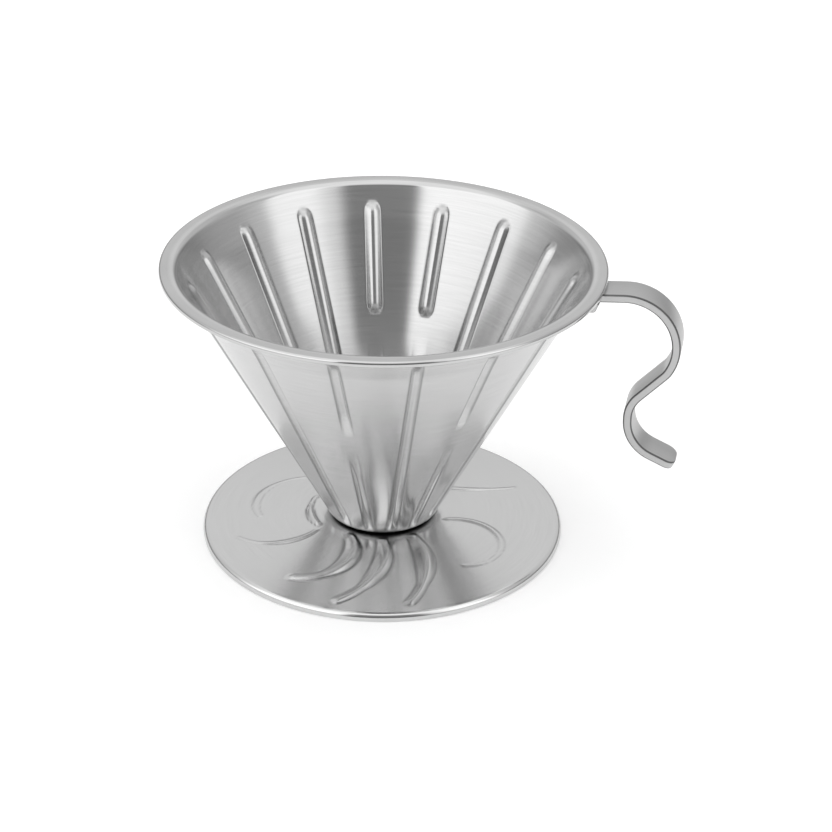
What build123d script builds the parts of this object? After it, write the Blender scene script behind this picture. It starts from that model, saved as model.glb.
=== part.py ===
from build123d import *
import os
from math import atan, cos, radians, sin, tan

# Pressed steel pour over dripper: a ribbed filter cone welded on a saucer-shaped stand,
# with a strap handle held under the rim by a welded block.  Millimetres, +Z up.
# The origin is on the cone's axis, in the plane that the stand rests on.

# Cone
RIM_RADIUS = 58.0
HEIGHT = 79.1
CONE_SHEET = 0.9
CONE_FOOT_RADIUS = 11.7        # where the outer wall's straight line would meet z = 0
CONE_SLOPE = 0.537             # radius gained per millimetre of height
FLARE_HEIGHT = 70.0            # the wall opens a little more from here up
FLARE_SLOPE = 0.605
FLARE_BEND = 40.0
LIP_HEIGHT = 1.5
LIP_THICKNESS = 1.3
LIP_CROWN = 1.25               # width of the lip's level top
LIP_TOP_ROUND = 0.8
LIP_FOOT_ROUND = 0.35
LIP_INNER_ROUND = 0.3
FLANGE_DROP = 0.1              # the flange is this much lower where it leaves the wall
WALL_BEND = 2.2
FOOT_BEND = 3.2
OUTLET_RADIUS = 10.5

# Pressed ribs of the cone, raised inside and grooved outside
RIB_COUNT = 16
RIB_START = 3.8                # azimuth of rib 0, degrees from +X
RIB_LEAN = 5.5                 # how far the ribs on the -Y side are turned from even spacing
RIB_ROUND = 3.4                # radius of the rib's inner surface
RIB_RISE = 1.0
RIB_TOP = 73.4
LONG_RIB_FOOT = 9.0
SHORT_RIB_FOOT = 46.6
SHORT_RIBS = (-5, -3, 3, 4)
FLUTE_TOP = 37.0               # a flute runs from here down, in line with each short rib
FLUTE_ROUND = 2.6
FLUTE_RISE = 0.8

# Stand
STAND_RADIUS = 49.0
STAND_SHEET = 1.0
STAND_LIP_HEIGHT = 2.2
STAND_LIP_THICKNESS = 2.0
STAND_LIP_ROUND = 1.5
STAND_FOOT_ROUND = 0.4
STAND_INNER_ROUND = 0.2
HUB_HEIGHT = 4.9
HUB_RADIUS = 16.5
HUB_BEND = 5.0
SHOULDER_RADIUS = 22.5         # the hub's slope eases into the saucer here
SHOULDER_HEIGHT = 4.2
SHOULDER_BEND = 12.0

# Each swirl is pressed up along an arc over three places: (azimuth in degrees, radius), and a width
SWIRL_RISE = 0.55
CRESCENT = 4.0
LINE = 2.2
SWIRLS = (
    ((298, 18.5), (291, 31.5), (280, 43.5), CRESCENT),
    ((271, 18.5), (267, 31.5), (255, 44.0), CRESCENT),
    ((243, 18.5), (250, 28.0), (235, 39.5), CRESCENT),
    ((212, 21.5), (212, 29.0), (198, 40.5), LINE),
    ((204, 19.3), (183, 19.8), (162, 19.3), LINE),
    ((183, 33.5), (162, 35.0), (140, 28.5), LINE),
    ((343, 18.5), (339, 33.5), (309, 34.5), LINE),
    ((42, 18.5), (26, 28.0), (22, 39.5), LINE),
    ((76, 18.5), (70, 28.0), (58, 38.0), LINE),
    ((109, 18.5), (103, 28.0), (90, 38.0), LINE),
)

# Handle: a flat strap bent in the upright plane at HANDLE_AZIMUTH
HANDLE_AZIMUTH = -12.0
STRAP_WIDTH = 9.0
STRAP_THICKNESS = 2.3
STRAP_EDGE = 0.55
STRAP_TIP_CORNER = 2.6
STRAP_START = (54.9, 76.15)    # distance from the axis and height of the strap's middle
STRAP_HEADING = 4.6            # degrees above level
# Runs of the strap from its inner end: (length, 0) is straight, (radius, turn) an arc
STRAP_RUNS = (
    (7.8, 0.0),
    (13.2, -123.7),
    (6.6, -14.0),
    (9.3, 0.0),
    (8.7, 43.4),
    (1.1, 0.0),
    (10.5, 65.8),
    (7.0, 0.0),
)

# Block welded between the cone's wall and the strap
BLOCK_WIDTH = 12.0
BLOCK_FOOT = 72.9
BLOCK_REACH = 56.8
BLOCK_DRAFT = 0.9
BLOCK_EDGE = 0.8
BLOCK_OVERLAP = 3.0            # how far its blank runs into the cone before it is cut to the wall

WALL_COS = cos(atan(CONE_SLOPE))


def wall_radius(height):
    """Radius of the cone's outer wall at a height."""
    flare = (FLARE_SLOPE - CONE_SLOPE) * max(0.0, height - FLARE_HEIGHT)
    return CONE_FOOT_RADIUS + CONE_SLOPE * height + flare


def rounded_section(corners):
    """Face on the XZ plane through (radius, height, corner radius) places."""
    face = make_face(Polyline(*[(r, z) for r, z, _ in corners], close=True))
    for r, z, bend in corners:
        if bend:
            face = fillet(face.vertices().sort_by_distance((r, z))[0], bend)
    return Plane.XZ * face


def turned(corners):
    """Solid of revolution of a rounded section about the cone's axis."""
    return revolve(rounded_section(corners), axis=Axis.Z)


def cone_outside():
    """The cone filled in, out to the sheet's outer surface."""
    flange_under = HEIGHT - FLANGE_DROP - CONE_SHEET
    lip_bottom = HEIGHT - LIP_HEIGHT
    lip_inside = RIM_RADIUS - LIP_THICKNESS
    return turned([
        (0, HUB_HEIGHT, 0),
        (wall_radius(HUB_HEIGHT), HUB_HEIGHT, FOOT_BEND + CONE_SHEET),
        (wall_radius(FLARE_HEIGHT), FLARE_HEIGHT, FLARE_BEND),
        (wall_radius(flange_under), flange_under, WALL_BEND - CONE_SHEET),
        (lip_inside, HEIGHT - CONE_SHEET, 0),
        (lip_inside, lip_bottom, LIP_INNER_ROUND),
        (RIM_RADIUS, lip_bottom, LIP_FOOT_ROUND),
        (RIM_RADIUS, HEIGHT, LIP_TOP_ROUND),
        (0, HEIGHT, 0),
    ])


def cone_inside():
    """The hollow of the cone, up past the rim."""
    flange_top = HEIGHT - FLANGE_DROP
    floor = HUB_HEIGHT + CONE_SHEET
    inset = CONE_SHEET / WALL_COS
    return turned([
        (0, floor, 0),
        (wall_radius(floor) - inset, floor, FOOT_BEND),
        (wall_radius(FLARE_HEIGHT) - inset, FLARE_HEIGHT, FLARE_BEND),
        (wall_radius(flange_top) - inset, flange_top, WALL_BEND),
        (RIM_RADIUS - LIP_CROWN, HEIGHT, 0),
        (0, HEIGHT, 0),
    ])


def capsule(radius, length):
    """Rod with round ends, its end centres at 0 and length on +Z."""
    outline = make_face([
        Line((0, -radius), (0, length + radius)),
        CenterArc((0, length), radius, 0, 90),
        Line((radius, length), (radius, 0)),
        CenterArc((0, 0), radius, -90, 90),
    ])
    return revolve(Plane.XZ * outline, axis=Axis.Z)


def rib_azimuth(index):
    """Azimuth of a rib in degrees."""
    even = RIB_START + index * 360 / RIB_COUNT
    return even + RIB_LEAN * max(0.0, -sin(radians(even)))


def along_wall(azimuth, foot, top, radius, clear):
    """Capsule beside the wall from height foot to top, its middle clear of the outer surface."""
    out = Vector(WALL_COS, 0, -WALL_COS * CONE_SLOPE) * clear
    start = Vector(wall_radius(foot), 0, foot) + out
    end = Vector(wall_radius(top), 0, top) + out
    rod = Plane(origin=start, z_dir=end - start) * capsule(radius, (end - start).length)
    return Rot(0, 0, azimuth) * rod


def pressing(azimuth, foot, top, radius, rise):
    """The two rods that form one pressed rib: its raised inside and its grooved outside."""
    clear = radius - rise - CONE_SHEET
    inner = along_wall(azimuth, foot, top, radius, clear)
    outer = along_wall(azimuth, foot, top, radius - CONE_SHEET, clear)
    return inner, outer


def pressings():
    """Every rib and flute of the cone."""
    pairs = []
    for index in range(-RIB_COUNT // 2 + 1, RIB_COUNT // 2 + 1):
        azimuth = rib_azimuth(index)
        short = index in SHORT_RIBS
        foot = SHORT_RIB_FOOT if short else LONG_RIB_FOOT
        end = RIB_ROUND - RIB_RISE
        pairs.append(pressing(azimuth, foot + end, RIB_TOP - end, RIB_ROUND, RIB_RISE))
        if short:
            pairs.append(pressing(azimuth, LONG_RIB_FOOT, FLUTE_TOP, FLUTE_ROUND, FLUTE_RISE))
    return pairs


def filter_cone():
    """Ribbed cone with its flanged rim and its turned-in foot."""
    outside = cone_outside()
    pairs = pressings()
    cone = (outside - cone_inside()) + [inner & outside for inner, _ in pairs]
    cone -= [outer for _, outer in pairs]
    return cone - Cylinder(OUTLET_RADIUS, 4 * HUB_HEIGHT)


def stand_section(rise=0.0):
    """Section of the stand's sheet without its lip, its top lifted by rise."""
    edge = STAND_RADIUS - STAND_LIP_THICKNESS
    top = [
        (OUTLET_RADIUS, HUB_HEIGHT, 0),
        (HUB_RADIUS, HUB_HEIGHT, HUB_BEND),
        (SHOULDER_RADIUS, SHOULDER_HEIGHT, SHOULDER_BEND),
        (edge, STAND_LIP_HEIGHT, 0),
    ]
    under = [(radius, height + rise - STAND_SHEET, bend) for radius, height, bend in top]
    over = [(radius, height + rise, bend) for radius, height, bend in reversed(top)]
    return under + over


def swirl_post(places, width):
    """Upright post whose plan is one swirl."""
    start, middle, tip = [Vector(r, 0).rotate(Axis.Z, azimuth) for azimuth, r in places]
    return extrude(SlotArc(ThreePointArc(start, middle, tip), width), 2 * HUB_HEIGHT)


def saucer_stand():
    """Saucer with a turned-down lip, a flat hub for the cone and embossed swirls."""
    inside = STAND_RADIUS - STAND_LIP_THICKNESS
    lip = turned([
        (inside, 0, STAND_INNER_ROUND),
        (STAND_RADIUS, 0, STAND_FOOT_ROUND),
        (STAND_RADIUS, STAND_LIP_HEIGHT, STAND_LIP_ROUND),
        (inside, STAND_LIP_HEIGHT, 0),
    ])
    stand = turned(stand_section()) + lip
    raised = turned(stand_section(SWIRL_RISE))
    hollow = Pos(0, 0, HUB_HEIGHT / 2) * Cylinder(inside - STAND_SHEET, HUB_HEIGHT) - raised
    stand += [swirl_post(places, width) & raised for *places, width in SWIRLS]
    for *places, width in SWIRLS:
        under = swirl_post(places, width - STAND_SHEET) & hollow
        stand -= under.solids().sort_by(Axis.Z)[0]
    return stand


def strap_path():
    """Middle line of the strap, drawn with distance from the axis as X and height as Y."""
    place = Vector(*STRAP_START)
    heading = Vector(1, 0).rotate(Axis.Z, STRAP_HEADING)
    pieces = []
    for size, turn in STRAP_RUNS:
        if turn:
            piece = JernArc(place, heading, size, turn)
        else:
            piece = Line(place, place + heading * size)
        pieces.append(piece)
        place = piece @ 1
        heading = piece % 1
    return Wire(pieces)


def handle_strap():
    """Question-mark strap with softened edges and a round-cornered tip."""
    path = Plane.XZ * strap_path()
    start = Plane(origin=path @ 0, z_dir=path % 0, x_dir=(0, 1, 0))
    strap = sweep(start * RectangleRounded(STRAP_WIDTH, STRAP_THICKNESS, STRAP_EDGE), path=path)
    corner = STRAP_TIP_CORNER
    tip = Plane(origin=path @ 1, x_dir=(0, 1, 0), z_dir=(path % 1).cross(Vector(0, 1, 0)))
    blank = Pos(0, corner) * Rectangle(2 * STRAP_WIDTH, 2 * corner)
    rounded = Pos(0, 2 * corner) * RectangleRounded(STRAP_WIDTH, 4 * corner, corner)
    strap -= tip * extrude(blank - rounded, STRAP_THICKNESS, both=True)
    return Rot(0, 0, HANDLE_AZIMUTH) * strap


def under_strap(distance):
    """Height of the strap's underside at a distance from the axis, on its first straight run."""
    slope = tan(radians(STRAP_HEADING))
    half = STRAP_THICKNESS / 2 / cos(radians(STRAP_HEADING))
    return STRAP_START[1] - half + (distance - STRAP_START[0]) * slope


def handle_block():
    """Block that fills the corner between the cone's wall and the strap."""
    behind_wall = wall_radius(BLOCK_FOOT) - BLOCK_OVERLAP
    outline = make_face(Polyline(
        (behind_wall, BLOCK_FOOT),
        (BLOCK_REACH - BLOCK_DRAFT, BLOCK_FOOT),
        (BLOCK_REACH, under_strap(BLOCK_REACH)),
        (behind_wall, under_strap(behind_wall)),
        close=True,
    ))
    block = extrude(Plane.XZ * outline, BLOCK_WIDTH / 2, both=True)
    outer_face = block.faces().sort_by(Axis.X)[-1]
    sides_and_foot = outer_face.edges().sort_by(Axis.Z)[:3]
    block = fillet(sides_and_foot, BLOCK_EDGE)
    return Rot(0, 0, HANDLE_AZIMUTH) * block - cone_outside()


parts = {
    "filter_cone": filter_cone(),
    "saucer_stand": saucer_stand(),
    "handle_strap": handle_strap(),
    "handle_block": handle_block(),
}
os.makedirs("parts", exist_ok=True)
for name, shape in parts.items():
    export_step(shape, f"parts/{name}.step")
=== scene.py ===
import math

import bpy
import numpy as np
from mathutils import Matrix, Vector


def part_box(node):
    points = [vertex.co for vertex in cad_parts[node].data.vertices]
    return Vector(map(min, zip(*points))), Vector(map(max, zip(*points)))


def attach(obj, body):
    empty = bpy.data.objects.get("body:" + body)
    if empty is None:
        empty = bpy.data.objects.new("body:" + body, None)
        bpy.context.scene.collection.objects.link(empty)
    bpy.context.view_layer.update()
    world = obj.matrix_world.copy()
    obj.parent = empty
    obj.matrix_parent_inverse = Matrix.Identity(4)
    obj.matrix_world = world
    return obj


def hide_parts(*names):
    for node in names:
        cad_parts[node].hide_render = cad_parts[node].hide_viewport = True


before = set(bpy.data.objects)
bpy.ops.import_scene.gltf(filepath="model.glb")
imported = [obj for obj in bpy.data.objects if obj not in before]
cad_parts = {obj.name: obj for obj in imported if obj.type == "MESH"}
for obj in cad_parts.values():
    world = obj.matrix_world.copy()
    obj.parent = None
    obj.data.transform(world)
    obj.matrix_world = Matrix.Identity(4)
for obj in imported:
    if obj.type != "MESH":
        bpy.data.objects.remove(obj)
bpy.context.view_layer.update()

MM = 0.001

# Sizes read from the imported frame, in millimetres. The rim stays a hair inside the CAD's own box
BOX_CLEARANCE = 0.005
cone_low, cone_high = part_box("filter_cone")
_, stand_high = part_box("saucer_stand")
RIM_RADIUS = cone_high.x / MM - BOX_CLEARANCE
HEIGHT = cone_high.z / MM
HUB_HEIGHT = cone_low.z / MM
STAND_RADIUS = stand_high.x / MM

# Lengths are in millimetres unless a comment says otherwise, and a slope is radius over height

# Cone
CONE_SHEET = 0.9
CONE_FOOT_RADIUS = 11.7
CONE_SLOPE = 0.537
FLARE_HEIGHT = 70.0
FLARE_SLOPE = 0.605
FLARE_BEND = 40.0
LIP_HEIGHT = 1.5
LIP_THICKNESS = 1.3
LIP_CROWN = 1.25
LIP_CROWN_BEND = 1.0
LIP_TOP_ROUND = 0.8
LIP_FOOT_ROUND = 0.35
LIP_INNER_ROUND = 0.3
FLANGE_DROP = 0.1
FLANGE_START = 0.3
WALL_BEND = 2.2
FOOT_BEND = 3.2
OUTLET_RADIUS = 10.5
CONE_SPACING = 0.9

# Ribs, numbered both ways from the one at RIB_START, which is in degrees as RIB_LEAN is
RIB_COUNT = 16
RIB_START = 3.8
RIB_LEAN = 5.5
RIB_RISE = 1.1
RIB_HALF = 2.2
RIB_PITCH_SHARE = 0.33
RIB_TOP = 73.4
RIB_SOFTNESS = 0.08
LONG_RIB_FOOT = 2.0
SHORT_RIB_FOOT = 46.6
SHORT_RIBS = (-5, -3, 3, 4)
PRESSING_START = 1.2
PRESSING_EASE = 3.0

# Grooves behind the ribs, and the flutes and scallops near the foot
GROOVE_NARROWING = 0.36
GROOVE_RUNOUT = 6.0
GROOVE_RUNOUT_START = 0.4
GROOVE_FOOT_RUNOUT = 9.0
FLUTE_TOP = 42.0
FLUTE_FADE = 18.0
FLUTE_RISE = 0.75
FLUTE_HALF = 2.0
SCALLOP_RISE = 0.3

# Painted shade: dark lines along the edges of ribs and swirls, in shares of a half width
CREASE_PLACE = 1.0
CREASE_WIDTH = 0.16
INNER_CREASE_SHADE = 0.6

# Columns of the cone's mesh over a rib's zone and between two zones. The zone, and the reach past
# which a rib counts as far away, are in shares of a rib's half width
RIB_CELLS = 28
GAP_CELLS = 10
RIB_ZONE = 1.35
RIB_REACH = 3.0

# Stand
STAND_SHEET = 1.0
STAND_LIP_HEIGHT = 2.2
STAND_LIP_THICKNESS = 2.0
STAND_LIP_ROUND = 1.5
STAND_FOOT_ROUND = 0.4
STAND_INNER_ROUND = 0.3
HUB_RADIUS = 16.5
HUB_BEND = 5.0
SHOULDER_RADIUS = 22.5
SHOULDER_HEIGHT = 4.2
SHOULDER_BEND = 12.0
STAND_SPACING = 0.42
STAND_COLUMNS = 900

# Each swirl is an arc over three (azimuth, radius) places, and how wide, tall and lopsided it is
CRESCENT = (3.0, 1.25, 0.3)
LINE = (1.3, 0.35, 0.1)
LOOP = (1.5, 1.0, 0.0)
SWIRLS = (
    ((298, 18.5), (291, 31.5), (280, 43.5), CRESCENT),
    ((271, 18.5), (267, 31.5), (255, 44.0), CRESCENT),
    ((243, 18.5), (250, 28.0), (235, 39.5), CRESCENT),
    ((212, 21.5), (212, 29.0), (198, 40.5), LINE),
    ((204, 19.3), (183, 19.8), (162, 19.3), LOOP),
    ((183, 33.5), (162, 35.0), (140, 28.5), LINE),
    ((343, 18.5), (339, 33.5), (309, 34.5), LINE),
    ((42, 18.5), (26, 28.0), (22, 39.5), LINE),
    ((76, 18.5), (70, 28.0), (58, 38.0), LINE),
    ((109, 18.5), (103, 28.0), (90, 38.0), LINE),
)

# How a swirl's width swells along it, how its tips and the painted shade in its creases die out, and the
# stand's margin without swirls
SWIRL_END_WIDTH = 0.55
SWIRL_SWELL = 1.25
SWIRL_SWELL_START = 0.1
SWIRL_TIP_TAPER = 1.7
SWIRL_CREASE_INSET = 0.1
SWIRL_CREASE_REACH = 1.2
SWIRL_MARGIN = 2.5
SWIRL_MARGIN_EASE = 1.5

# Handle. It starts at an (outwards, up) place, with its heading in degrees above level, and each
# run is (length, 0) for a straight one or (radius, degrees turned) for an arc
HANDLE_AZIMUTH = math.radians(-12.0)
STRAP_WIDTH = 9.0
STRAP_THICKNESS = 2.3
STRAP_EDGE = 0.55
STRAP_TIP_CORNER = 2.6
STRAP_START = (54.9, 76.15)
STRAP_HEADING = 4.6
STRAP_RUNS = (
    (7.8, 0.0),
    (13.2, -123.7),
    (6.6, -14.0),
    (9.3, 0.0),
    (8.7, 43.4),
    (1.1, 0.0),
    (10.5, 65.8),
    (7.0, 0.0),
)
STRAP_TURN_STEP = math.radians(2.5)
STRAP_RUN_STEP = 0.4

# Cells round the arcs of the outlines, the strap's edges and the strap's tip
BEND_STEPS = 8
EDGE_STEPS = 6
TIP_STEPS = 8

# Steel's grain: its cells per metre across the lines, the scales that draw it out along them,
# and how much smoother, rougher, darker and lighter it makes the steel
BRUSH_FINENESS = 2600.0
BRUSH_SPREAD_ROUND = 3.0
BRUSH_SPREAD_STRAP = 60.0
BRUSH_TURN = 0.25
GRAIN_DETAIL = 3.0
SMUDGE_SCALE = 45.0
SMUDGE_DETAIL = 2.0
SMUDGE_SHARE = 0.25
SMOOTHER = 0.02
ROUGHER = 0.03
DARKER = 0.07
DARKER_AT = 0.3
LIGHTER = 0.05
LIGHTER_AT = 0.7
BUMP_STRENGTH = 0.008
BUMP_DEPTH = 0.05

# Steel's polished bands, on the roughness, and dark bands of painted shade at the cone's foot and round the
# stand's hub, on the colour: where each starts and ends, and its factor before and after
CONE_POLISHED = (HEIGHT - 1.6, HEIGHT - 0.9, 1.0, 0.55)
CONE_FOOT_PAINTED_SHADE = (HUB_HEIGHT + 0.1, HUB_HEIGHT + 0.9, 0.1, 1.0)
STAND_POLISHED = (STAND_RADIUS - 2.0, STAND_RADIUS - 1.2, 1.0, 0.6)
STAND_HUB_PAINTED_SHADE = (13.0, 15.6, 0.1, 1.0)

# Steel's factors on the colour where a stored layer is 1: painted light on the cone's outer side and
# painted shade in the creases; and how the strap's edges take on a darker tone, as painted shade
OUTER_SIDE_PAINTED_LIGHT = 1.14
CREASE_SHADE_FACTOR = 0.5
EDGE_PAINTED_SHADE = (0.35, 0.75, 0.0, 0.95)
EDGE_PAINTED_SHADE_TONE = 0.12

# Floor and lamp, in metres and watts
FLOOR_RADIUS = 2.2
FLOOR_CORNERS = 96
FLOOR_TONE = 0.84
FLOOR_ROUGHNESS = 0.9
FLOOR_SPECULAR = 0.1
FLOOR_GLOW = 0.20
FLOOR_GLOW_SEEN = 0.08
LAMP_PLACE = (0.12, 0.2, 1.2)
LAMP_SIZE = 1.0
LAMP_POWER = 1.8

# The studio seen from the object: (degrees from the front, positive to the right, brightness)
STUDIO_BANDS = (
    (-180, 0.82),
    (-150, 0.80),
    (-120, 0.70),
    (-98, 0.95),
    (-88, 1.55),
    (-27, 1.65),
    (-19, 0.26),
    (22, 0.26),
    (34, 1.10),
    (48, 1.55),
    (71, 1.55),
    (80, 0.80),
    (98, 0.62),
    (130, 0.72),
    (180, 0.82),
)
STUDIO_STRENGTH = 2.0
HORIZON_SHADE = 0.4
HORIZON_LOW = math.radians(5)
HORIZON_HIGH = math.radians(24)
OVERHEAD_START = 0.68
OVERHEAD_END = 0.92
OVERHEAD_LEVEL = 1.24
BACKDROP_LEVEL = 1.0

# Camera: its place is in rim radii from the axis, and its nearest sight in metres
CAMERA_YAW = math.radians(0.949)
CAMERA_PITCH = math.radians(28.40)
CAMERA_ROLL = math.radians(0.789)
CAMERA_BACK = 9.174
CAMERA_UP = 5.540
CAMERA_FILM = 36.0
CAMERA_LENS = 97.76
CAMERA_NEAR = 0.01

WALL_ANGLE = math.atan(CONE_SLOPE)
WALL_ALONG = np.array([math.sin(WALL_ANGLE), math.cos(WALL_ANGLE)])
WALL_INWARD = np.array([-math.cos(WALL_ANGLE), math.sin(WALL_ANGLE)])


def smooth_step(value):
    """Ease from 0 to 1 as the value does, and stay level past both ends."""
    value = np.clip(value, 0.0, 1.0)
    return value * value * (3.0 - 2.0 * value)


# ---------------------------------------------------------------- outlines and meshes

def bend_points(before, place, after, bend):
    """Points on the arc that rounds the corner at one place of an outline."""
    if not bend:
        return [place]
    back = (before - place) / np.linalg.norm(before - place)
    onward = (after - place) / np.linalg.norm(after - place)
    half = 0.5 * math.acos(np.clip(back @ onward, -1, 1))
    reach = bend / math.tan(half)
    middle = place + (back + onward) / np.linalg.norm(back + onward) * bend / math.sin(half)
    start = place + back * reach - middle
    end = place + onward * reach - middle
    sweep = math.acos(np.clip(start @ end / bend ** 2, -1, 1))
    points = []
    for step in range(BEND_STEPS + 1):
        share = step / BEND_STEPS
        spoke = math.sin((1 - share) * sweep) * start + math.sin(share * sweep) * end
        points.append(middle + spoke / math.sin(sweep))
    return points


def rounded_outline(corners, spacing):
    """Closed outline through (radius, height, bend radius) corners, sampled along its runs."""
    places = [np.array(corner[:2], float) for corner in corners]
    arcs = []
    for i, place in enumerate(places):
        arcs.append(bend_points(places[i - 1], place, places[(i + 1) % len(places)], corners[i][2]))
    outline = []
    for i, arc in enumerate(arcs):
        outline.extend(arc)
        run = arcs[(i + 1) % len(arcs)][0] - arc[-1]
        steps = max(1, int(round(np.linalg.norm(run) / spacing)))
        outline.extend(arc[-1] + run * step / steps for step in range(1, steps))
    return np.array(outline)


def add_mesh(name, points, faces):
    """Smooth-shaded piece from points in millimetres."""
    mesh = bpy.data.meshes.new(name)
    mesh.from_pydata((points.reshape(-1, 3) * MM).tolist(), [], faces)
    mesh.validate()
    mesh.shade_smooth()
    piece = bpy.data.objects.new(name, mesh)
    bpy.context.scene.collection.objects.link(piece)
    return piece


def add_layer(piece, name, values):
    """Store one number for each point of a piece, for its material."""
    layer = piece.data.attributes.new(name, "FLOAT", "POINT")
    layer.data.foreach_set("value", np.ravel(values).astype(np.float32))


def ring_faces(rows, columns, wrap_rows=True):
    """Quads of a grid whose columns wrap round, and whose rows do too if asked."""
    last = rows if wrap_rows else rows - 1
    row, column = np.meshgrid(np.arange(last), np.arange(columns), indexing="ij")
    next_row = (row + 1) % rows
    next_column = (column + 1) % columns
    quads = np.stack([
        row * columns + column,
        row * columns + next_column,
        next_row * columns + next_column,
        next_row * columns + column,
    ], axis=-1)
    return quads.reshape(-1, 4).tolist()


# ---------------------------------------------------------------- filter cone

def wall_radius(height):
    """Radius of the cone's outer wall, which opens a little under the rim."""
    flare = (FLARE_SLOPE - CONE_SLOPE) * max(0.0, height - FLARE_HEIGHT)
    return CONE_FOOT_RADIUS + CONE_SLOPE * height + flare


def up_slope(radius, height):
    """How far up the wall's slope a place of the cone's section is."""
    return radius * WALL_ALONG[0] + height * WALL_ALONG[1]


def up_wall(height):
    """How far up its slope the outer wall reaches a height."""
    return up_slope(wall_radius(height), height)


def rib_azimuth(index):
    """Azimuth of a rib in degrees. Those on the near side lean away from even spacing."""
    even = RIB_START + index * 360 / RIB_COUNT
    return even + RIB_LEAN * max(0.0, -math.sin(math.radians(even)))


RIB_STEP = 2 * math.pi / RIB_COUNT
RIB_INDICES = np.arange(1 - RIB_COUNT // 2, RIB_COUNT // 2 + 1)
RIB_AZIMUTHS = np.radians([rib_azimuth(index) for index in RIB_INDICES])


def rib_half_width(radius):
    """Half width of a long rib, narrower where the ribs crowd together at the foot."""
    return np.minimum(RIB_HALF, RIB_PITCH_SHARE * radius * RIB_STEP)


def column_azimuths(radius):
    """Azimuths of the mesh columns on a ring, gathered on the ribs, and each column's rib."""
    zone = RIB_ZONE * rib_half_width(radius) / radius
    following = np.append(RIB_AZIMUTHS[1:], RIB_AZIMUTHS[0] + 2 * math.pi)
    azimuths = []
    for azimuth, after in zip(RIB_AZIMUTHS, following):
        azimuths.extend(azimuth + zone * np.linspace(-1, 1, RIB_CELLS, endpoint=False))
        azimuths.extend(np.linspace(azimuth + zone, after - zone, GAP_CELLS, endpoint=False))
    return np.array(azimuths), np.repeat(np.arange(RIB_COUNT), RIB_CELLS + GAP_CELLS)


def nearest_ribs(radius, azimuths, ribs):
    """The rib nearest to each column of a ring, and how far across from its middle that is."""
    following = (ribs + 1) % RIB_COUNT
    across = radius * (azimuths - RIB_AZIMUTHS[ribs])
    across_following = radius * np.angle(np.exp(1j * (azimuths - RIB_AZIMUTHS[following])))
    over = across > radius * RIB_STEP / 2
    return np.where(over, following, ribs), np.where(over, across_following, across)


def ridge(distance):
    """Crown of a pressed rib: an arc that dies out softly past a distance of 1."""
    arc = 1.0 - distance ** 2
    return 0.5 * (arc + np.sqrt(arc ** 2 + RIB_SOFTNESS ** 2)) - 0.25 * RIB_SOFTNESS ** 2


def rib_distance(across, along, foot, top, half):
    """Distance from a rib's crown, as a share of its half width."""
    past = np.maximum(np.maximum(foot + half - along, along - top + half), 0.0)
    return np.minimum(np.hypot(across, past) / half, RIB_REACH)


def crease_shade_line(distance):
    """Strength of the painted shade line along a groove's edge."""
    return np.exp(-((distance - CREASE_PLACE) / CREASE_WIDTH) ** 2)


def cone_pressing(radius, height, azimuths, ribs, outside):
    """How far the wall is pressed inwards at one ring of the cone, and the strength of the painted shade in
    its creases.
    """
    ribs, across = nearest_ribs(radius, azimuths, ribs)
    short = np.isin(RIB_INDICES[ribs], SHORT_RIBS)
    along = up_slope(radius, height)
    foot = np.where(short, up_wall(SHORT_RIB_FOOT), up_wall(LONG_RIB_FOOT))
    top = up_wall(RIB_TOP)
    half = rib_half_width(radius)
    flute_half = half * FLUTE_HALF / RIB_HALF
    strength = 1.0
    if outside:
        runout = smooth_step((along - top) / GROOVE_RUNOUT + GROOVE_RUNOUT_START)
        strength = (1 - runout) * smooth_step((along - foot) / GROOVE_FOOT_RUNOUT)
        top += GROOVE_RUNOUT
        half -= min(CONE_SHEET, GROOVE_NARROWING * half)
        flute_half -= min(CONE_SHEET, GROOVE_NARROWING * flute_half)
    distance = rib_distance(across, along, foot, top, half)
    near_foot = smooth_step((up_wall(FLUTE_TOP) - along) / FLUTE_FADE)
    flute_strength = np.where(short, near_foot, 0.0)
    flute_distance = np.minimum(np.abs(across) / flute_half, RIB_REACH)
    scallop = 0.5 - 0.5 * np.cos(2 * math.pi * across / (radius * RIB_STEP))
    depth = RIB_RISE * ridge(distance) * strength
    depth = depth + FLUTE_RISE * ridge(flute_distance) * flute_strength
    depth = depth + SCALLOP_RISE * scallop * near_foot
    # Painted shade along the edges of the ribs and flutes
    crease_shade = crease_shade_line(distance) * strength + crease_shade_line(flute_distance) * flute_strength
    above_foot = smooth_step((height - HUB_HEIGHT - PRESSING_START) / PRESSING_EASE)
    return np.maximum(depth, 0.0) * above_foot, crease_shade * above_foot


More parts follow.
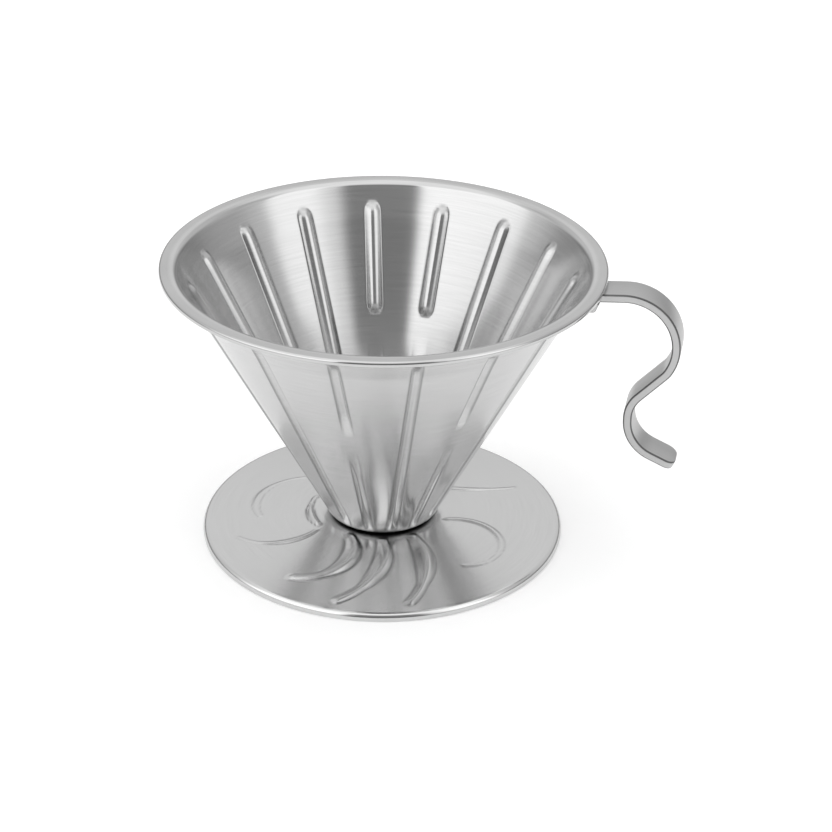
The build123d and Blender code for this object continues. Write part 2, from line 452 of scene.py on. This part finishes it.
def cone_outline():
    """Closed section of the cone's sheet, as (radius, height) points."""
    inset = CONE_SHEET / math.cos(WALL_ANGLE)
    floor = HUB_HEIGHT + CONE_SHEET
    flange = HEIGHT - FLANGE_DROP
    under = flange - CONE_SHEET
    lip_inside = RIM_RADIUS - LIP_THICKNESS
    corners = [
        (OUTLET_RADIUS, floor, LIP_INNER_ROUND),
        (wall_radius(floor) - inset, floor, FOOT_BEND),
        (wall_radius(FLARE_HEIGHT) - inset, FLARE_HEIGHT, FLARE_BEND),
        (wall_radius(flange) - inset, flange, WALL_BEND),
        (RIM_RADIUS - LIP_CROWN, HEIGHT, LIP_CROWN_BEND),
        (RIM_RADIUS, HEIGHT, LIP_TOP_ROUND),
        (RIM_RADIUS, HEIGHT - LIP_HEIGHT, LIP_FOOT_ROUND),
        (lip_inside, HEIGHT - LIP_HEIGHT, LIP_INNER_ROUND),
        (lip_inside, HEIGHT - CONE_SHEET, 0.0),
        (wall_radius(under), under, WALL_BEND - CONE_SHEET),
        (wall_radius(FLARE_HEIGHT), FLARE_HEIGHT, FLARE_BEND),
        (wall_radius(HUB_HEIGHT), HUB_HEIGHT, FOOT_BEND + CONE_SHEET),
        (OUTLET_RADIUS, HUB_HEIGHT, LIP_INNER_ROUND),
    ]
    return rounded_outline(corners, CONE_SPACING)


def make_cone():
    """The cone's sheet, with its ribs and grooves pressed into a turned section."""
    rings, sides, crease_shades = [], [], []
    for radius, height in cone_outline():
        azimuths, ribs = column_azimuths(radius)
        past_wall = radius - wall_radius(height)
        outside = past_wall * math.cos(WALL_ANGLE) > -CONE_SHEET / 2
        on_flange = past_wall > FLANGE_START
        depth, crease_shade = cone_pressing(radius, height, azimuths, ribs, outside)
        if on_flange:
            depth = np.zeros_like(depth)
            crease_shade = np.zeros_like(crease_shade)
        elif not outside:
            # The painted shade in the creases is fainter inside the cone
            crease_shade = crease_shade * INNER_CREASE_SHADE
        r = radius + depth * WALL_INWARD[0]
        z = height + depth * WALL_INWARD[1]
        rings.append(np.stack([r * np.cos(azimuths), r * np.sin(azimuths), z], axis=-1))
        sides.append(np.full(len(azimuths), float(outside and not on_flange)))
        crease_shades.append(crease_shade)
    points = np.array(rings)
    cone = add_mesh("cone_sheet", points, ring_faces(*points.shape[:2]))
    # Layer for the painted light on the cone's outer side
    add_layer(cone, "painted_light_outer_side", sides)
    # Layer for the painted shade in the cone's creases
    add_layer(cone, "crease_shade", crease_shades)
    return cone


# ---------------------------------------------------------------- stand

def arc_through(places):
    """Centre, radius, start angle and signed sweep of the arc over three polar places."""
    points = [
        np.array([radius * math.cos(math.radians(azimuth)), radius * math.sin(math.radians(azimuth))])
        for azimuth, radius in places
    ]
    (ax, ay), (bx, by), (cx, cy) = points
    a, b, c = [float(point @ point) for point in points]
    doubled = 2 * (ax * (by - cy) + bx * (cy - ay) + cx * (ay - by))
    centre = np.array([
        (a * (by - cy) + b * (cy - ay) + c * (ay - by)) / doubled,
        (a * (cx - bx) + b * (ax - cx) + c * (bx - ax)) / doubled,
    ])
    start, middle, end = [math.atan2(*(point - centre)[::-1]) for point in points]
    sweep = (end - start) % (2 * math.pi)
    if (middle - start) % (2 * math.pi) > sweep:
        sweep -= 2 * math.pi
    return centre, float(np.linalg.norm(points[0] - centre)), start, sweep


def swirl_height(x, y):
    """Height of the swirls over the stand, whose crests lean outwards, and the strength of the painted
    shade in their creases.
    """
    height = np.zeros_like(x)
    crease_shade = np.zeros_like(x)
    for *places, (half, rise, lean) in SWIRLS:
        centre, radius, start, sweep = arc_through(places)
        dx = x - centre[0]
        dy = y - centre[1]
        span = abs(sweep)
        rest = math.pi - span / 2
        travel = ((np.arctan2(dy, dx) - start) * np.sign(sweep) + rest) % (2 * math.pi) - rest
        share = np.clip(travel / span, 0.0, 1.0)
        past = np.maximum(np.maximum(travel - span, -travel), 0.0) * radius
        swell = np.sin(math.pi * np.minimum(share * SWIRL_SWELL + SWIRL_SWELL_START, 1.0))
        width = half * (SWIRL_END_WIDTH + (1 - SWIRL_END_WIDTH) * swell)
        across = (np.hypot(dx, dy) - radius) / width
        inner = smooth_step((across + 1.0) / (1.0 + lean))
        outer = smooth_step((1.0 - across) / (1.0 - lean))
        bump = np.where(across < lean, inner, outer) * smooth_step(1.0 - past / (SWIRL_TIP_TAPER * width))
        height = np.maximum(height, rise * bump * width / half)
        # Painted shade along the swirls' edges
        edge = crease_shade_line(np.abs(across) + SWIRL_CREASE_INSET)
        edge = edge * smooth_step(SWIRL_CREASE_REACH - past / width)
        crease_shade = np.maximum(crease_shade, edge * min(1.0, rise))
    return height, crease_shade


def stand_outline():
    """Closed section of the stand's sheet, as (radius, height) points."""
    inside = STAND_RADIUS - STAND_LIP_THICKNESS
    top = [
        (OUTLET_RADIUS, HUB_HEIGHT, STAND_INNER_ROUND),
        (HUB_RADIUS, HUB_HEIGHT, HUB_BEND),
        (SHOULDER_RADIUS, SHOULDER_HEIGHT, SHOULDER_BEND),
    ]
    lip = [
        (STAND_RADIUS, STAND_LIP_HEIGHT, STAND_LIP_ROUND),
        (STAND_RADIUS, 0.0, STAND_FOOT_ROUND),
        (inside, 0.0, STAND_INNER_ROUND),
        (inside, STAND_LIP_HEIGHT - STAND_SHEET, STAND_INNER_ROUND),
    ]
    under = [(radius, height - STAND_SHEET, bend) for radius, height, bend in reversed(top)]
    return rounded_outline(top + lip + under, STAND_SPACING)


def make_stand():
    """The stand's sheet, with its swirls embossed into a turned section."""
    outline = stand_outline()
    azimuths = np.linspace(0, 2 * math.pi, STAND_COLUMNS, endpoint=False)
    radius = outline[:, :1]
    x = radius * np.cos(azimuths)
    y = radius * np.sin(azimuths)
    lift, crease_shade = swirl_height(x, y)
    z = outline[:, 1:] + lift * smooth_step((STAND_RADIUS - SWIRL_MARGIN - radius) / SWIRL_MARGIN_EASE)
    points = np.stack([x, y, z], axis=-1)
    stand = add_mesh("stand_sheet", points, ring_faces(*points.shape[:2]))
    # Layer for the painted shade in the swirls' creases
    add_layer(stand, "crease_shade", crease_shade)
    return stand


# ---------------------------------------------------------------- handle

def strap_line():
    """Points along the strap's middle, as (outwards, up), with their headings."""
    place = np.array(STRAP_START)
    heading = math.radians(STRAP_HEADING)
    places, headings = [place], [heading]
    for size, degrees in STRAP_RUNS:
        if degrees:
            turn = math.radians(degrees)
            steps = max(2, int(abs(turn) / STRAP_TURN_STEP))
            reach = math.copysign(size, turn)
            centre = place + reach * np.array([-math.sin(heading), math.cos(heading)])
            for step in range(1, steps + 1):
                now = heading + turn * step / steps
                places.append(centre - reach * np.array([-math.sin(now), math.cos(now)]))
                headings.append(now)
            heading += turn
        else:
            steps = max(2, int(size / STRAP_RUN_STEP))
            ahead = np.array([math.cos(heading), math.sin(heading)])
            for step in range(1, steps + 1):
                places.append(place + ahead * size * step / steps)
                headings.append(heading)
        place = places[-1]
    return np.array(places), np.array(headings)


def strap_stations():
    """Place, heading and side trim of each section of the strap, whose tip has round corners."""
    places, headings = strap_line()
    lengths = np.r_[0.0, np.cumsum(np.linalg.norm(np.diff(places, axis=0), axis=1))]
    tip_start = lengths[-1] - STRAP_TIP_CORNER
    stations = [
        (place, heading, 0.0)
        for place, heading, length in zip(places, headings, lengths) if length < tip_start
    ]
    ahead = np.array([math.cos(headings[-1]), math.sin(headings[-1])])
    for step in range(TIP_STEPS + 1):
        angle = math.pi / 2 * step / TIP_STEPS
        back = STRAP_TIP_CORNER * (1 - math.sin(angle))
        trim = STRAP_TIP_CORNER * (1 - math.cos(angle))
        stations.append((places[-1] - ahead * back, headings[-1], trim))
    return stations


def strap_section(half_width):
    """Rounded rectangle, as points across and through the strap."""
    places = []
    for quarter, (side, face) in enumerate(((1, 1), (-1, 1), (-1, -1), (1, -1))):
        centre = np.array([side * (half_width - STRAP_EDGE), face * (STRAP_THICKNESS / 2 - STRAP_EDGE)])
        for step in range(EDGE_STEPS + 1):
            angle = math.pi / 2 * (quarter + step / EDGE_STEPS)
            places.append(centre + STRAP_EDGE * np.array([math.cos(angle), math.sin(angle)]))
    return np.array(places)


def make_strap():
    """The handle's bent strap, closed at both ends, with a layer that peaks on its edges for painted shade.
    """
    outwards = np.array([math.cos(HANDLE_AZIMUTH), math.sin(HANDLE_AZIMUTH), 0.0])
    sideways = np.array([-math.sin(HANDLE_AZIMUTH), math.cos(HANDLE_AZIMUTH), 0.0])
    upwards = np.array([0.0, 0.0, 1.0])
    rings = []
    for place, heading, trim in strap_stations():
        across, through = strap_section(STRAP_WIDTH / 2 - trim).T
        out = place[0] - math.sin(heading) * through
        up = place[1] + math.cos(heading) * through
        rings.append(np.outer(out, outwards) + np.outer(across, sideways) + np.outer(up, upwards))
    points = np.array(rings)
    rows, columns = points.shape[:2]
    faces = ring_faces(rows, columns, wrap_rows=False)
    faces.append(list(range(columns)))
    faces.append([(rows - 1) * columns + i for i in range(columns - 1, -1, -1)])
    strap = add_mesh("strap_band", points, faces)
    edge = np.sin(math.pi * np.linspace(0, 1, EDGE_STEPS + 1))
    # Layer for the painted shade along the strap's edges
    add_layer(strap, "corner", np.tile(edge, 4 * rows))
    return strap


# ---------------------------------------------------------------- nodes

def grey(level):
    """Opaque grey of one level."""
    return (level, level, level, 1)


def feed(tree, socket, value):
    """Link a socket to another node's output, or give it a plain value."""
    if isinstance(value, bpy.types.NodeSocket):
        tree.links.new(value, socket)
    else:
        socket.default_value = value


def math_node(tree, kind, *values):
    """Result of a math node."""
    node = tree.nodes.new("ShaderNodeMath")
    node.operation = kind
    for socket, value in zip(node.inputs, values):
        feed(tree, socket, value)
    return node.outputs["Value"]


def range_node(tree, value, start, end, before=0.0, after=1.0, kind="SMOOTHSTEP"):
    """Value that goes from before to after as another goes from start to end."""
    node = tree.nodes.new("ShaderNodeMapRange")
    node.interpolation_type = kind
    limits = {"Value": value, "From Min": start, "From Max": end, "To Min": before, "To Max": after}
    for name, amount in limits.items():
        feed(tree, node.inputs[name], amount)
    return node.outputs["Result"]


def band_node(tree, distance, band):
    """Factor of a (start, end, before, after) band, whose start and end are in millimetres."""
    start, end, before, after = band
    return range_node(tree, distance, start * MM, end * MM, before, after)


def mix_node(tree, blend, factor, first, second):
    """Colour mixed from two others."""
    node = tree.nodes.new("ShaderNodeMixRGB")
    node.blend_type = blend
    for name, value in (("Fac", factor), ("Color1", first), ("Color2", second)):
        feed(tree, node.inputs[name], value)
    return node.outputs["Color"]


def noise_node(tree, place, scale, detail):
    """Strength of a noise texture."""
    node = tree.nodes.new("ShaderNodeTexNoise")
    for name, value in (("Vector", place), ("Scale", scale), ("Detail", detail)):
        feed(tree, node.inputs[name], value)
    return node.outputs["Fac"]


def layer_node(tree, name):
    """Value of a layer stored on a mesh by add_layer."""
    node = tree.nodes.new("ShaderNodeAttribute")
    node.attribute_name = name
    return node.outputs["Fac"]


def split_node(tree, vector):
    """The three parts of a vector."""
    node = tree.nodes.new("ShaderNodeSeparateXYZ")
    feed(tree, node.inputs["Vector"], vector)
    return node.outputs


# ---------------------------------------------------------------- materials

def brushing(tree, place, lines):
    """Grain drawn out along the brushing, and the distance that runs across its lines.

    The lines go round at one height, round at one radius or along the strap.
    """
    x, y, z = split_node(tree, place)
    if lines == "strap":
        across_x = math_node(tree, "MULTIPLY", x, -math.sin(HANDLE_AZIMUTH))
        across_y = math_node(tree, "MULTIPLY", y, math.cos(HANDLE_AZIMUTH))
        across = math_node(tree, "ADD", across_x, across_y)
        spread = [math_node(tree, "MULTIPLY", part, BRUSH_SPREAD_STRAP) for part in (x, z)]
    else:
        squares = [math_node(tree, "MULTIPLY", part, part) for part in (x, y)]
        radius = math_node(tree, "SQRT", math_node(tree, "ADD", *squares))
        across = z if lines == "round_height" else radius
        spread = [
            math_node(tree, "MULTIPLY", math_node(tree, "DIVIDE", part, radius), BRUSH_SPREAD_ROUND)
            for part in (x, y)
        ]
    joined = tree.nodes.new("ShaderNodeCombineXYZ")
    fine = math_node(tree, "MULTIPLY", across, BRUSH_FINENESS)
    for socket, value in zip(joined.inputs, (*spread, fine)):
        feed(tree, socket, value)
    return noise_node(tree, joined.outputs["Vector"], 1.0, GRAIN_DETAIL), across


def grain_colour(tree, grain, tone, depth):
    """Grey that is a little darker and lighter along the brushing's grain."""
    ramp = tree.nodes.new("ShaderNodeValToRGB")
    dark, light = ramp.color_ramp.elements
    dark.position = DARKER_AT
    dark.color = grey(tone * (1 - depth * DARKER))
    light.position = LIGHTER_AT
    light.color = grey(tone * (1 + depth * LIGHTER))
    feed(tree, ramp.inputs["Fac"], grain)
    return ramp.outputs["Color"]


def brushed_steel(name, tone, roughness, lines, grain_depth, anisotropy=0.0,
                  polished=None, dark=None, layers=()):
    """Brushed stainless steel.

    polished is a band across the lines with factors on the roughness, and dark one with factors on the
    colour, as painted shade.
    Each of the layers is the name of a stored layer and the factor on the colour where it is 1, as painted
    light or shade.
    """
    material = bpy.data.materials.new(name)
    material.use_nodes = True
    tree = material.node_tree
    tree.nodes.clear()
    shader = tree.nodes.new("ShaderNodeBsdfPrincipled")
    shader.inputs["Metallic"].default_value = 1.0
    shader.inputs["Anisotropic"].default_value = anisotropy
    shader.inputs["Anisotropic Rotation"].default_value = BRUSH_TURN
    place = tree.nodes.new("ShaderNodeTexCoord").outputs["Object"]
    grain, across = brushing(tree, place, lines)

    smudge = math_node(tree, "MULTIPLY", noise_node(tree, place, SMUDGE_SCALE, SMUDGE_DETAIL), SMUDGE_SHARE)
    unevenness = math_node(tree, "ADD", math_node(tree, "MULTIPLY", grain, 1 - SMUDGE_SHARE), smudge)
    smooth = roughness - grain_depth * SMOOTHER
    rough = roughness + grain_depth * ROUGHER
    finish = range_node(tree, unevenness, 0.0, 1.0, smooth, rough, "LINEAR")
    if polished:
        finish = math_node(tree, "MULTIPLY", finish, band_node(tree, across, polished))

    colour = grain_colour(tree, grain, tone, grain_depth)
    # Painted shade: a dark band at the cone's foot and round the stand's hub
    if dark:
        colour = mix_node(tree, "MULTIPLY", 1.0, colour, band_node(tree, across, dark))
    # Layers paint light and shade: a lighter outer side of the cone, darker creases
    for layer, factor in layers:
        colour = mix_node(tree, "MULTIPLY", layer_node(tree, layer), colour, grey(factor))
    # Painted shade: dark lines along the strap's rounded edges
    if lines == "strap":
        edge_shade = range_node(tree, layer_node(tree, "corner"), *EDGE_PAINTED_SHADE)
        colour = mix_node(tree, "MIX", edge_shade, colour, grey(EDGE_PAINTED_SHADE_TONE))

    bump = tree.nodes.new("ShaderNodeBump")
    bump.inputs["Strength"].default_value = BUMP_STRENGTH
    bump.inputs["Distance"].default_value = BUMP_DEPTH * MM
    feed(tree, bump.inputs["Height"], grain)
    tangent = tree.nodes.new("ShaderNodeTangent")
    tangent.direction_type = "RADIAL"
    tangent.axis = "Z"
    feed(tree, shader.inputs["Roughness"], finish)
    feed(tree, shader.inputs["Base Color"], colour)
    feed(tree, shader.inputs["Normal"], bump.outputs["Normal"])
    feed(tree, shader.inputs["Tangent"], tangent.outputs["Tangent"])
    surface = tree.nodes.new("ShaderNodeOutputMaterial").inputs["Surface"]
    feed(tree, surface, shader.outputs["BSDF"])
    return material


# ---------------------------------------------------------------- studio

def make_floor():
    """Pale floor with a faint glow of its own, a little stronger as the camera sees it."""
    bpy.ops.mesh.primitive_circle_add(vertices=FLOOR_CORNERS, radius=FLOOR_RADIUS, fill_type="NGON")
    floor = bpy.context.active_object
    floor.name = "floor"
    material = bpy.data.materials.new("pale_floor")
    material.use_nodes = True
    tree = material.node_tree
    shader = tree.nodes["Principled BSDF"]
    shader.inputs["Base Color"].default_value = grey(FLOOR_TONE)
    shader.inputs["Roughness"].default_value = FLOOR_ROUGHNESS
    shader.inputs["Specular IOR Level"].default_value = FLOOR_SPECULAR
    shader.inputs["Emission Color"].default_value = grey(1)
    seen = tree.nodes.new("ShaderNodeLightPath").outputs["Is Camera Ray"]
    glow = math_node(tree, "MULTIPLY_ADD", seen, FLOOR_GLOW_SEEN, FLOOR_GLOW)
    feed(tree, shader.inputs["Emission Strength"], glow)
    floor.data.materials.append(material)


def make_lamp():
    """Broad soft lamp overhead, which no reflection shows."""
    data = bpy.data.lights.new("overhead", "AREA")
    data.shape = "RECTANGLE"
    data.size = LAMP_SIZE
    data.size_y = LAMP_SIZE
    data.energy = LAMP_POWER
    lamp = bpy.data.objects.new("overhead", data)
    bpy.context.scene.collection.objects.link(lamp)
    lamp.location = LAMP_PLACE
    lamp.rotation_euler = (-Vector(LAMP_PLACE)).to_track_quat("-Z", "Y").to_euler()
    lamp.visible_camera = False
    lamp.visible_glossy = False


def band_ramp(tree, share):
    """Brightness of the studio's bands, as a share of its strength, by a share of the turn round it."""
    ramp = tree.nodes.new("ShaderNodeValToRGB")
    ramp.color_ramp.interpolation = "EASE"
    stops = ramp.color_ramp.elements
    for degrees, _ in STUDIO_BANDS[1:-1]:
        stops.new(0.5 + degrees / 360)
    for stop, (_, level) in zip(stops, STUDIO_BANDS):
        stop.color = grey(level / STUDIO_STRENGTH)
    feed(tree, ramp.inputs["Fac"], share)
    return ramp.outputs["Color"]


def make_world():
    """Grey studio with a broad bright panel each side of a dark front, even overhead and for the camera."""
    world = bpy.data.worlds.new("studio")
    bpy.context.scene.world = world
    world.use_nodes = True
    tree = world.node_tree
    x, y, z = split_node(tree, tree.nodes.new("ShaderNodeTexCoord").outputs["Generated"])
    turn = math_node(tree, "ARCTAN2", x, math_node(tree, "MULTIPLY", y, -1.0))
    share = math_node(tree, "ADD", math_node(tree, "MULTIPLY", turn, 1 / (2 * math.pi)), 0.5)
    horizon = range_node(tree, z, math.sin(HORIZON_LOW), math.sin(HORIZON_HIGH), HORIZON_SHADE)
    sides = mix_node(tree, "MULTIPLY", 1.0, band_ramp(tree, share), horizon)
    overhead = range_node(tree, z, OVERHEAD_START, OVERHEAD_END)
    studio = mix_node(tree, "MIX", overhead, sides, grey(OVERHEAD_LEVEL / STUDIO_STRENGTH))
    seen = tree.nodes.new("ShaderNodeLightPath").outputs["Is Camera Ray"]
    background = tree.nodes["Background"]
    colour = mix_node(tree, "MIX", seen, studio, grey(BACKDROP_LEVEL / STUDIO_STRENGTH))
    feed(tree, background.inputs["Color"], colour)
    background.inputs["Strength"].default_value = STUDIO_STRENGTH


def make_camera():
    """Camera in front of the object and above it, turned by its yaw, pitch and roll."""
    level_ahead = math.cos(CAMERA_PITCH)
    ahead = Vector((
        math.sin(CAMERA_YAW) * level_ahead,
        math.cos(CAMERA_YAW) * level_ahead,
        -math.sin(CAMERA_PITCH),
    ))
    level = Vector((math.cos(CAMERA_YAW), -math.sin(CAMERA_YAW), 0.0))
    upright = level.cross(ahead)
    right = math.cos(CAMERA_ROLL) * level + math.sin(CAMERA_ROLL) * upright
    up = math.cos(CAMERA_ROLL) * upright - math.sin(CAMERA_ROLL) * level
    data = bpy.data.cameras.new("camera")
    data.sensor_width = CAMERA_FILM
    data.lens = CAMERA_LENS
    data.dof.use_dof = False
    data.clip_start = CAMERA_NEAR
    camera = bpy.data.objects.new("camera", data)
    bpy.context.scene.collection.objects.link(camera)
    rim = RIM_RADIUS * MM
    place = Vector((0.0, -CAMERA_BACK * rim, CAMERA_UP * rim))
    axes = Matrix((right, up, -ahead)).transposed()
    camera.matrix_world = Matrix.Translation(place) @ axes.to_4x4()
    bpy.context.scene.camera = camera


# ---------------------------------------------------------------- the scene

make_camera()
make_floor()
make_world()
make_lamp()

cone_steel = brushed_steel(
    "cone_steel", tone=0.58, roughness=0.19, lines="round_height", grain_depth=0.7, anisotropy=0.8,
    polished=CONE_POLISHED, dark=CONE_FOOT_PAINTED_SHADE,
    layers=(("painted_light_outer_side", OUTER_SIDE_PAINTED_LIGHT), ("crease_shade", CREASE_SHADE_FACTOR)),
)
stand_steel = brushed_steel(
    "stand_steel", tone=0.69, roughness=0.24, lines="round_radius", grain_depth=0.35,
    polished=STAND_POLISHED, dark=STAND_HUB_PAINTED_SHADE,
    layers=(("crease_shade", CREASE_SHADE_FACTOR),),
)
strap_steel = brushed_steel("strap_steel", tone=0.53, roughness=0.42, lines="strap", grain_depth=0.5)

cone = make_cone()
cone.data.materials.append(cone_steel)
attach(cone, "root")
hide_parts("filter_cone")

stand = make_stand()
stand.data.materials.append(stand_steel)
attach(stand, "root")
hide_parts("saucer_stand")

strap = make_strap()
strap.data.materials.append(strap_steel)
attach(strap, "root")
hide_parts("handle_strap")

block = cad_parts["handle_block"]
block.data.materials.clear()
block.data.materials.append(strap_steel)

bpy.context.scene.view_settings.view_transform = "Standard"
